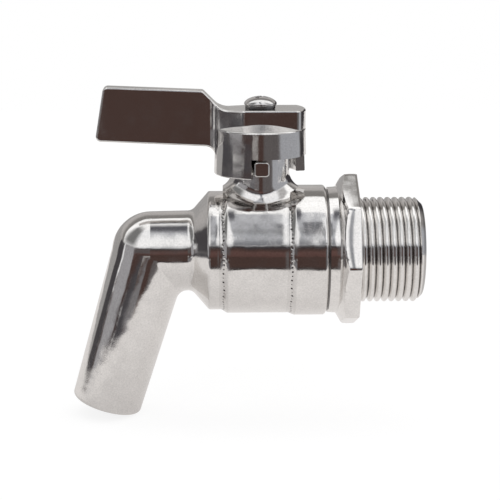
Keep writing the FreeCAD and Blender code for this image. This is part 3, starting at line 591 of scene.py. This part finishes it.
def evened_normal(tree, place):
    """The casting's normal, with the faint crease round the slanted tube polished away."""
    def vectors(operation, first, second=None, scale=None):
        inputs = {0: first, 1: second, "Scale": scale}
        given = {name: source for name, source in inputs.items() if source is not None}
        return add_node(tree, "ShaderNodeVectorMath", given, operation=operation).outputs

    true = add_node(tree, "ShaderNodeNewGeometry").outputs["Normal"]
    away = vectors("SUBTRACT", place, metres(*ELBOW_CENTRE))["Vector"]
    along = vectors("DOT_PRODUCT", away, TUBE_WAY)["Value"]
    outward = vectors("SUBTRACT", away, vectors("SCALE", TUBE_WAY, scale=along)["Vector"])["Vector"]
    radius = vectors("LENGTH", outward)["Value"]
    off = maths(tree, "ABSOLUTE", minus(tree, radius, CREASE_R * MM))
    share = times(tree, fade_out(tree, off, *metres(CREASE_FULL, CREASE_END)),
                  maths(tree, "GREATER_THAN", along, 0.0))
    share = times(tree, share, fade_out(tree, along, *metres(CREASE_FADE_START, CREASE_FADE_END)))
    change = vectors("SUBTRACT", vectors("NORMALIZE", outward)["Vector"], true)["Vector"]
    evened = vectors("ADD", true, vectors("SCALE", change, scale=share)["Vector"])["Vector"]
    return vectors("NORMALIZE", evened)["Vector"]


def body_finish():
    """Polished steel that sinks a little beside each weld, with casting waves round the neck."""
    material = polished("body_steel", colour(0.82, 0.805, 0.79), roughness=0.055, smear=0.05,
                        line_scale=700.0, relief=0.12)
    tree = material.node_tree
    place = object_place(tree)
    x, _, z = split(tree, place)
    dishes = 0.0
    for ring in WELDS.values():
        off = maths(tree, "DIVIDE", minus(tree, x, ring["middle"] * MM), DISH_HALF * MM)
        bell = maths(tree, "POWER", math.e, times(tree, times(tree, off, off), -1.0))
        dishes = maths(tree, "ADD", dishes, bell)
    dishes = times(tree, dishes, fade_out(tree, z, *metres(DISH_FULL_Z, DISH_END_Z)))
    waves = times(tree, minus(tree, noise(tree, place, *NECK_NOISE), 0.5),
                  fade(tree, z, *metres(NECK_START_Z, NECK_FULL_Z)))
    # The polish's own relief starts from the evened normal
    polish_relief = source_of(shader_of(material).inputs["Normal"]).node
    tree.links.new(evened_normal(tree, place), polish_relief.inputs["Normal"])
    return add_relief(material, times_plus(tree, dishes, -DISH_DEPTH * MM,
                                           times(tree, waves, NECK_WAVES * MM)))


def lever_finish():
    """Polished steel with casting waves on the hub, while the blade is flat."""
    material = polished("lever_steel", colour(0.79, 0.775, 0.76), roughness=0.075, smear=0.07,
                        line_scale=700.0, relief=0.10)
    tree = material.node_tree
    place = object_place(tree)
    x, _, _ = split(tree, place)
    waves = times(tree, minus(tree, noise(tree, place, *HUB_NOISE), 0.5),
                  fade(tree, x, *metres(HUB_START_X, HUB_FULL_X)))
    return add_relief(material, times(tree, waves, HUB_WAVES * MM))


def pit_group():
    """Marks the fine pits of one weld row from the angle round the barrel and the place along it."""
    group, source, result = node_group(
        "weld_pits", {"Vector": "Vector", "Middle": "Float", "First Angle": "Float",
                      "Spots per Radian": "Float"}, {"Pit": "Float"})
    x, y, z = split(group, source.outputs["Vector"])
    angle = maths(group, "ARCTAN2", y, times(group, z, -1.0))
    place = times(group, minus(group, angle, source.outputs["First Angle"]),
                  source.outputs["Spots per Radian"])
    number = maths(group, "FLOOR", place)
    along = times(group, minus(group, minus(group, place, number), 0.5), SPOT_PITCH * MM)
    sway = maths(group, "SINE", times(group, number, SPOT_WANDER))
    across = times_plus(group, sway, -SPOT_SWAY * MM, minus(group, x, source.outputs["Middle"]))
    reach = times_plus(group, maths(group, "SINE", times(group, number, PIT_WANDER)),
                       PIT_SPREAD, PIT_REACH)
    share = maths(group, "DIVIDE", long_side(group, along, across), times(group, reach, SPOT_R * MM))
    group.links.new(fade_out(group, share, *PIT_EDGE), result.inputs["Pit"])
    return group


def weld_finish():
    """Polished steel with dark pits along both rows of spots."""
    material = polished("weld_steel", colour(0.76, 0.745, 0.73), roughness=0.08, smear=0.08,
                        line_scale=900.0, relief=0.08)
    tree, group = material.node_tree, pit_group()
    place = object_place(tree)
    pits = [add_node(tree, "ShaderNodeGroup",
                     {"Vector": place, "Middle": ring["middle"] * MM, "First Angle": ring["first"],
                      "Spots per Radian": ring["mean_r"] / SPOT_PITCH}, node_tree=group).outputs["Pit"]
            for ring in WELDS.values()]
    return darken(material, maths(tree, "MAXIMUM", *pits), colour(0.035, 0.03, 0.03), rougher=0.35)


def thread_finish():
    """Turned steel with painted shade in the roots of the thread and in the seam beside the collar."""
    material = polished("thread_steel", colour(0.87, 0.855, 0.84), roughness=0.06, smear=0.06,
                        line_scale=1500.0, relief=0.06)
    tree = material.node_tree
    x, y, z = split(tree, object_place(tree))
    radius = long_side(tree, y, z)
    # Painted shade: the thread's roots and the seam beside the collar darken towards a near-black tone
    root = times(tree, fade_out(tree, radius, *metres(ROOT_R + ROOT_FULL, ROOT_R + ROOT_END)),
                 fade(tree, radius, *metres(*[ROOT_R + below for below in ROOT_CORE])))
    root = times(tree, root, maths(tree, "GREATER_THAN", x, 0.0))
    seam = times(tree, maths(tree, "GREATER_THAN", x, (SEAM_X - SEAM_BEFORE) * MM),
                 fade_out(tree, x, *metres(SEAM_X + SEAM_FULL, SEAM_X + SEAM_WIDTH)))
    share = maths(tree, "MAXIMUM", times(tree, root, ROOT_PAINTED_SHADE), times(tree, seam, SEAM_PAINTED_SHADE))
    return darken(material, share, colour(0.05, 0.045, 0.045), rougher=0.25)


def screw_finish():
    """Bright screw steel with painted shade in the cross recess and between the head and its washer."""
    material = polished("fastener_steel", colour(0.74, 0.73, 0.72), roughness=0.09, smear=0.08,
                        line_scale=1500.0, relief=0.06)
    tree = material.node_tree
    x, y, z = split(tree, object_place(tree))
    radius = long_side(tree, minus(tree, x, STEM_X * MM), y)
    # The crown's height above the seat, as in crown_height
    part = maths(tree, "MINIMUM", maths(tree, "DIVIDE", radius, HEAD_R * MM), 1.0)
    bulge = maths(tree, "POWER", minus(tree, 1.0, times(tree, part, part)), CROWN_POWER)
    crown = times_plus(tree, bulge, (HEAD_HEIGHT - HEAD_RIM) * MM, (HEAD_Z + HEAD_RIM) * MM)
    # Painted shade: the cross recess, and the washer with the head's foot, darken towards a near-black tone
    recess = times(tree, fade(tree, minus(tree, crown, z), *metres(RECESS_START, RECESS_FULL)),
                   maths(tree, "LESS_THAN", radius, RECESS_REACH * RECESS_MARGIN * MM))
    recess = times(tree, recess, maths(tree, "GREATER_THAN", z, HEAD_Z * MM))
    line = times(tree, fade_out(tree, z, *metres(HUB_TOP + LINE_FULL, HEAD_Z + LINE_END)),
                 maths(tree, "GREATER_THAN", z, HUB_TOP * MM))
    share = maths(tree, "MAXIMUM", times(tree, recess, RECESS_PAINTED_SHADE), times(tree, line, LINE_PAINTED_SHADE))
    return darken(material, share, colour(0.04, 0.038, 0.038), rougher=0.25)


def inner_finish(name, tone, roughness, smear, metallic):
    """A finish of the pieces inside the valve."""
    material = polished(name, tone, roughness, smear, line_scale=900.0, relief=0.03)
    shader_of(material).inputs["Metallic"].default_value = metallic
    return material


FINISHES = {
    "body_steel": body_finish(),
    "weld_steel": weld_finish(),
    "thread_steel": thread_finish(),
    "lever_steel": lever_finish(),
    "fastener_steel": screw_finish(),
    "valve_steel": inner_finish("valve_steel", colour(0.80, 0.79, 0.78), 0.05, 0.04, metallic=1.0),
    "ptfe": inner_finish("ptfe", colour(0.90, 0.89, 0.87), 0.45, 0.10, metallic=0.0),
    "seal_rubber": inner_finish("seal_rubber", colour(0.03, 0.03, 0.03), 0.55, 0.10, metallic=0.0),
}

SLOT_OF = {entry["node"]: entry["material_slot"] for entry in frame["record"]["subparts"]}
for name, node in nodes.items():
    for slot in node.material_slots:
        slot.material = FINISHES[SLOT_OF[name]]


# Modelling helpers, in millimetres

FULL_TURN = 2 * math.pi
# How close counts as one spot when vertices merge, a plane cuts and a loop is looked for
MERGE_NEAR = 1e-4
CUT_NEAR = 1e-5
LOOP_NEAR = 1e-3


def turn_section(bm, points, axis, steps, angle=FULL_TURN, closed=True):
    """Turn (along, radius) points about the x or z axis, by an angle in radians."""
    if axis == "x":
        places, way = [(along, 0, radius) for along, radius in points], (1, 0, 0)
    else:
        places, way = [(radius, 0, along) for along, radius in points], (0, 0, 1)
    verts = [bm.verts.new(place) for place in places]
    edges = [bm.edges.new(pair) for pair in zip(verts, verts[1:])]
    if closed:
        edges.append(bm.edges.new((verts[-1], verts[0])))
    bmesh.ops.spin(bm, geom=verts + edges, cent=(0, 0, 0), axis=way, angle=angle, steps=steps,
                   use_merge=angle == FULL_TURN)


def merge_close(bm):
    """Join the vertices that a spin or a pole leaves on one spot."""
    bmesh.ops.remove_doubles(bm, verts=bm.verts, dist=MERGE_NEAR)


def fill_open_ends(bm):
    """Close every hole with a face."""
    bmesh.ops.holes_fill(bm, edges=[edge for edge in bm.edges if edge.is_boundary], sides=0)


def open_loop(bm, along, radius, reach):
    """The boundary edges at one place along x, within a reach of a radius."""
    def near(vert):
        off = math.hypot(vert.co.y, vert.co.z) - radius
        return abs(vert.co.x - along) < LOOP_NEAR and abs(off) < reach

    return [edge for edge in bm.edges if edge.is_boundary and all(near(vert) for vert in edge.verts)]


def scale_radius(vert, factor):
    """Move a vertex straight towards or away from the x axis."""
    vert.co.y *= factor
    vert.co.z *= factor


def finish_piece(bm, name, body, stands_for, slot, crease=32):
    """Turn millimetres to metres, face the normals outward, give the piece its finish, hang it on its body and
    hide the parts it stands for.
    """
    bmesh.ops.recalc_face_normals(bm, faces=bm.faces)
    bmesh.ops.scale(bm, verts=bm.verts, vec=(MM, MM, MM))
    for face in bm.faces:
        face.smooth = True
    for edge in bm.edges:
        edge.smooth = len(edge.link_faces) == 2 and edge.calc_face_angle(0) < math.radians(crease)
    mesh = bpy.data.meshes.new(name)
    bm.to_mesh(mesh)
    bm.free()
    piece = bpy.data.objects.new(name, mesh)
    bpy.context.scene.collection.objects.link(piece)
    mesh.materials.append(FINISHES[slot])
    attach(piece, body)
    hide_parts(*stands_for)


# Wall connector: the octagon and the pipe thread

# Where the thread starts, how full its crests are, its rows across a pitch and its steps round
THREAD_START = -1.0
THREAD_FULLNESS = 2.5
THREAD_SLICES = 14
TURN_STEPS = 96
# The octagon: flats, corner round, turn about the axis, and its bevelled back
OCTAGON_IN_R = 18.1
OCTAGON_ROUND = 0.8
OCTAGON_TURN = 2.5
SIDE_ANGLE = 45
OCTAGON_BACK = -5.1
OCTAGON_RIM = -3.45
OCTAGON_BORE = 10.5
OCTAGON_STEPS = 288
BEVEL_LOW_R = 16.2
BEVEL_HIGH_R = 19.0
BEVEL_END_R = 19.8
BEVEL_STEPS = 10
BEVEL_BEFORE = 0.1
BEVEL_AFTER = 0.05
# How soft its edges are, and how far its flats crown
BACK_INSET = 0.12
BACK_DROP = 0.1
OCTAGON_EDGE = 0.12
EDGE_FROM = 0.95
OCTAGON_CROWN = 0.09
# The rim's rows as shares of its width from the back to the face, and the radius that marks them
RIM_SHARES = (0.0, 0.12, 0.25, 0.4, 0.55, 0.7, 0.82, 0.92, 0.97, 1.0)
ROW_MARK = 30
# The land behind the octagon with its soft foot, and the shank inside the octagon and the collar
LAND_R = 15.82
LAND_RISE = 0.14
LAND_STEPS = 8
SEAM_SLANT = 0.1
CORE_R = 12.6
CORE_START = -1.3
CORE_END = -2.5
# Every radius of the thread's two open ends lies within a reach of this one
THREAD_END_R = 12.5
THREAD_END_REACH = 1.0
SHANK_END_REACH = 0.1
# The nose with the seat's pocket and bore, and the thread's end face
NOSE_R = 13.96
NOSE_CHAMFER = 0.2
POCKET_R = 12.44
POCKET_X = -12.5
SEAT_BORE_R = 7.6
MOUTH_CHAMFER = 0.25
END_FACE_R = 11.3


def thread_height(share):
    """Radius of the rounded thread at a share of its pitch."""
    from_crest = abs(2 * (share - round(share)))
    return CREST_R - (CREST_R - ROOT_R) * from_crest ** THREAD_FULLNESS


def cut_thread(bm):
    """A right-hand thread swept along the axis, trimmed square at both ends, with its lead chamfer."""
    start = THREAD_START - PITCH
    slices = THREAD_SLICES * (math.ceil((THREAD_END - start) / PITCH) + 1)
    shares = [index / THREAD_SLICES for index in range(slices + 1)]
    verts = [bm.verts.new((start + PITCH * share, 0, thread_height(share))) for share in shares]
    edges = [bm.edges.new(pair) for pair in zip(verts, verts[1:])]
    # One turn carries every ridge on to the start of the next
    bmesh.ops.spin(bm, geom=verts + edges, cent=(0, 0, 0), axis=(1, 0, 0), angle=FULL_TURN,
                   dvec=(PITCH / TURN_STEPS, 0, 0), steps=TURN_STEPS, use_merge=False)
    merge_close(bm)
    for vert in bm.verts:
        radius = math.hypot(vert.co.y, vert.co.z)
        limit = CREST_R - max(0.0, vert.co.x - THREAD_STRAIGHT)
        if radius > limit:
            scale_radius(vert, limit / radius)
    for place, inner in ((THREAD_START, True), (THREAD_END, False)):
        bmesh.ops.bisect_plane(bm, geom=bm.verts[:] + bm.edges[:] + bm.faces[:], dist=CUT_NEAR,
                               plane_co=(place, 0, 0), plane_no=(1, 0, 0),
                               clear_inner=inner, clear_outer=not inner)


def octagon_reach(around):
    """How far the octagon's rounded outline reaches at an angle in radians from +Y towards +Z."""
    half = SIDE_ANGLE / 2
    half_side = math.radians(half)
    corner = math.radians((math.degrees(around) - 90 - OCTAGON_TURN + half) % SIDE_ANGLE - half)
    centre = (OCTAGON_IN_R - OCTAGON_ROUND) / math.cos(half_side)
    tangent = math.atan2((OCTAGON_IN_R - OCTAGON_ROUND) * math.tan(half_side), OCTAGON_IN_R)
    if abs(corner) > half_side - tangent:
        return OCTAGON_IN_R / math.cos(half_side - abs(corner))
    return centre * math.cos(corner) + math.sqrt(OCTAGON_ROUND ** 2 - (centre * math.sin(corner)) ** 2)


def shape_octagon(bm):
    """A turned disc with its bevelled back, cut in to the octagon's outline."""
    slope = (OCTAGON_RIM - OCTAGON_BACK) / (BEVEL_HIGH_R - BEVEL_LOW_R)
    ladder = [BEVEL_LOW_R + (BEVEL_END_R - BEVEL_LOW_R) * index / BEVEL_STEPS
              for index in range(1, BEVEL_STEPS + 1)]
    ladder.insert(0, BEVEL_LOW_R + BEVEL_AFTER)
    section = [(OCTAGON_BACK, OCTAGON_BORE), (OCTAGON_BACK, BEVEL_LOW_R - BEVEL_BEFORE)]
    section += [(OCTAGON_BACK + slope * (radius - BEVEL_LOW_R), radius) for radius in ladder]
    # The rim's rows carry the mark and their number as a radius until they are cut in to the outline
    section += [(0, ROW_MARK + row) for row in range(1, len(RIM_SHARES))] + [(0, OCTAGON_BORE)]
    turn_section(bm, section, "x", OCTAGON_STEPS)
    merge_close(bm)
    for vert in bm.verts:
        radius = math.hypot(vert.co.y, vert.co.z)
        reach = octagon_reach(math.atan2(vert.co.z, vert.co.y))
        low = reach - OCTAGON_CROWN
        back = OCTAGON_BACK + slope * (low - BEVEL_LOW_R) + BACK_DROP
        if radius > ROW_MARK:
            share = RIM_SHARES[round(radius) - ROW_MARK]
            edge = OCTAGON_EDGE * max(0.0, share - EDGE_FROM) / (1 - EDGE_FROM)
            vert.co.x = back * (1 - share)
            scale_radius(vert, (reach - OCTAGON_CROWN * (2 * share - 1) ** 2 - edge) / radius)
        elif radius >= low:
            vert.co.x = back
            scale_radius(vert, low / radius)
        elif radius > low - BACK_INSET:
            vert.co.x = back - BACK_DROP
            scale_radius(vert, (low - BACK_INSET) / radius)


def make_wall_connector():
    """The thread, its shank with the seat's pocket, and the octagon, in one piece."""
    bm = bmesh.new()
    cut_thread(bm)
    land = OCTAGON_BACK - SEAM_X - SEAM_WIDTH
    foot = [(OCTAGON_BACK - land * (1 - share), LAND_R + LAND_RISE * share ** 2)
            for share in (index / LAND_STEPS for index in range(LAND_STEPS, -1, -1))]
    shank = [(CORE_START, CORE_R), (CORE_END, CORE_R), (CORE_END, LAND_R + LAND_RISE)] + foot + [
             (SEAM_X + SEAM_WIDTH - SEAM_SLANT, LAND_R - SEAM_DEPTH), (SEAM_X, LAND_R - SEAM_DEPTH),
             (SEAM_X, NOSE_R), (NOSE_X + NOSE_CHAMFER, NOSE_R), (NOSE_X, NOSE_R - NOSE_CHAMFER),
             (NOSE_X, POCKET_R), (POCKET_X, POCKET_R), (POCKET_X, SEAT_BORE_R), (SEAM_X, BORE_R),
             (THREAD_END - MOUTH_CHAMFER, BORE_R), (THREAD_END, BORE_R + MOUTH_CHAMFER),
             (THREAD_END, END_FACE_R)]
    turn_section(bm, shank, "x", TURN_STEPS, closed=False)
    merge_close(bm)
    for thread_x, shank_x, shank_r in ((THREAD_START, CORE_START, CORE_R),
                                       (THREAD_END, THREAD_END, END_FACE_R)):
        thread_loop = open_loop(bm, thread_x, THREAD_END_R, THREAD_END_REACH)
        shank_loop = open_loop(bm, shank_x, shank_r, SHANK_END_REACH)
        bmesh.ops.bridge_loops(bm, edges=thread_loop + shank_loop)
    shape_octagon(bm)
    finish_piece(bm, "wall_connector", "valve_body", ["end_connector"], "thread_steel")


# Weld rings with their fine spots

# Rows across the bead, its dish's depth and fullness, steps round for each spot, and a pit's shape
BEAD_ROWS = 20
BEAD_DISH = 0.16
BEAD_FULLNESS = 1.5
SPOT_STEPS = 6
PIT_DEPTH = 0.09
PIT_SHARPNESS = 1.6
# Vertices this near the bead's root or its ends stay where they are
KEEP_ROOT = 0.02
KEEP_ENDS = 0.05


def make_weld_ring(node):
    """The joint's dished step with a row of fine spots, as long as the solid bead below it."""
    ring = WELDS[node]
    left, right, middle = ring["left"], ring["right"], ring["middle"]
    section = [(middle, ring["root"])]
    for index in range(BEAD_ROWS + 1):
        share = index / BEAD_ROWS
        step = 2 * share ** 2 if share < 0.5 else 1 - 2 * (1 - share) ** 2
        dish = BEAD_DISH * math.sin(math.pi * share) ** BEAD_FULLNESS
        radius = ring["low"] + (ring["high"] - ring["low"]) * step - dish
        section.append((left + (right - left) * share, radius))
    bm = bmesh.new()
    spots = round((ring["last"] - ring["first"]) * ring["mean_r"] / SPOT_PITCH)
    turn_section(bm, section, "x", spots * SPOT_STEPS, angle=ring["last"] - ring["first"])
    # The spin starts straight up, and the ring starts beside the neck
    start = Matrix.Rotation(math.pi + ring["first"], 3, "X")
    bmesh.ops.rotate(bm, verts=bm.verts, cent=(0, 0, 0), matrix=start)
    fill_open_ends(bm)
    for vert in bm.verts:
        radius = math.hypot(vert.co.y, vert.co.z)
        from_end = min(vert.co.x - left, right - vert.co.x)
        if abs(radius - ring["root"]) < KEEP_ROOT or from_end < KEEP_ENDS:
            continue
        place = (math.atan2(vert.co.y, -vert.co.z) - ring["first"]) * ring["mean_r"] / SPOT_PITCH
        number = math.floor(place)
        off_along = (place - number - 0.5) * SPOT_PITCH
        off_across = vert.co.x - middle - SPOT_SWAY * math.sin(SPOT_WANDER * number)
        distance = math.hypot(off_along, off_across) / SPOT_R
        scale_radius(vert, 1 - PIT_DEPTH * math.exp(-PIT_SHARPNESS * distance ** 2) / radius)
    finish_piece(bm, node + "_spots", "valve_body", [node], "weld_steel", crease=60)


# Handle screw and its spring washer

SCREW_R = 2.0
SCREW_CHAMFER = 0.3
# The head's lower edge as three points: off the seat, and in from the rim
HEAD_EDGE = [(0, 0.15), (0.05, 0.04), (0.15, 0)]
# Rows of a quarter round of which the crown's outer ones are used, rows inside them, and steps round
CROWN_ROWS = 20
CROWN_USED = 8
RECESS_ROWS = 64
SCREW_STEPS = 256
# The recess: turn about the stem, width of its walls, how much shallower it ends, and its heart
RECESS_TURN = 28
RECESS_WALL = 0.09
RECESS_RISE = 0.55
HEART_REACH = 1.05
HEART_WALL = 0.35
# Vertices this little outside the crown's inner rows are pressed in too
RECESS_BEYOND = 0.01
WASHER_BORE = 2.15
WASHER_SPLIT = 0.6
WASHER_EDGE = 0.1
WASHER_STEPS = 120
# How far the washer's slit leans from its lower to its upper face, in radians
SLIT_LEAN = 0.35


def crown_height(radius):
    """Height of the pan head's crown above its seat."""
    share = min(1.0, radius / HEAD_R)
    return HEAD_RIM + (HEAD_HEIGHT - HEAD_RIM) * (1 - share ** 2) ** CROWN_POWER


def recess_depth(x, y):
    """Depth of the cross recess, with slanting walls and deeper towards the middle."""
    deep = 0.0
    for along, across in ((abs(x), abs(y)), (abs(y), abs(x))):
        wall = min(RECESS_HALF - across, RECESS_REACH - along) / RECESS_WALL
        floor = RECESS_DEPTH * (1 - RECESS_RISE * along / RECESS_REACH)
        deep = max(deep, floor * min(1.0, max(0.0, wall)))
    heart = (HEART_REACH - (abs(x) + abs(y))) / HEART_WALL
    return max(deep, RECESS_DEPTH * min(1.0, max(0.0, heart)))


def make_handle_screw():
    """The pan-head screw with its cross recess, standing in the hub."""
    outer = [HEAD_R * math.sin(math.pi / 2 * index / CROWN_ROWS)
             for index in range(CROWN_ROWS, CROWN_ROWS - CROWN_USED, -1)]
    inner = [outer[-1] * index / RECESS_ROWS for index in range(RECESS_ROWS - 1, -1, -1)]
    section = [(SCREW_TIP, 0), (SCREW_TIP, SCREW_R - SCREW_CHAMFER),
               (SCREW_TIP + SCREW_CHAMFER, SCREW_R), (HEAD_Z, SCREW_R)]
    section += [(HEAD_Z + rise, HEAD_R - inset) for rise, inset in HEAD_EDGE]
    section += [(HEAD_Z + crown_height(radius), radius) for radius in outer + inner]
    bm = bmesh.new()
    turn_section(bm, section, "z", SCREW_STEPS, closed=False)
    merge_close(bm)
    for vert in bm.verts:
        radius = math.hypot(vert.co.x, vert.co.y)
        if vert.co.z > HEAD_Z + HEAD_RIM and radius < outer[-1] + RECESS_BEYOND:
            turned = Matrix.Rotation(math.radians(RECESS_TURN), 3, "Z") @ vert.co
            vert.co.z -= recess_depth(turned.x, turned.y)
    bmesh.ops.translate(bm, verts=bm.verts, vec=(STEM_X, 0, 0))
    finish_piece(bm, "cross_screw", "lever", ["handle_screw"], "fastener_steel", crease=38)


def make_spring_washer():
    """A split washer whose slit is cut on the slant."""
    bm = bmesh.new()
    edge, low, high = WASHER_EDGE, HUB_TOP, HEAD_Z
    section = [(low, WASHER_BORE + edge), (low, WASHER_R - edge), (low + edge, WASHER_R),
               (high - edge, WASHER_R), (high, WASHER_R - edge), (high, WASHER_BORE + edge),
               (high - edge, WASHER_BORE), (low + edge, WASHER_BORE)]
    slit = WASHER_SPLIT / ((WASHER_R + WASHER_BORE) / 2)
    turn_section(bm, section, "z", WASHER_STEPS, angle=FULL_TURN - slit - SLIT_LEAN)
    fill_open_ends(bm)
    for vert in bm.verts:
        lean = SLIT_LEAN * (vert.co.z - low) / WASHER_HEIGHT
        vert.co = Matrix.Rotation(lean + slit / 2, 3, "Z") @ vert.co
    bmesh.ops.translate(bm, verts=bm.verts, vec=(STEM_X, 0, 0))
    finish_piece(bm, "spring_washer", "lever", ["lock_washer"], "fastener_steel", crease=30)


make_wall_connector()
for weld in WELDS:
    make_weld_ring(weld)
make_handle_screw()
make_spring_washer()
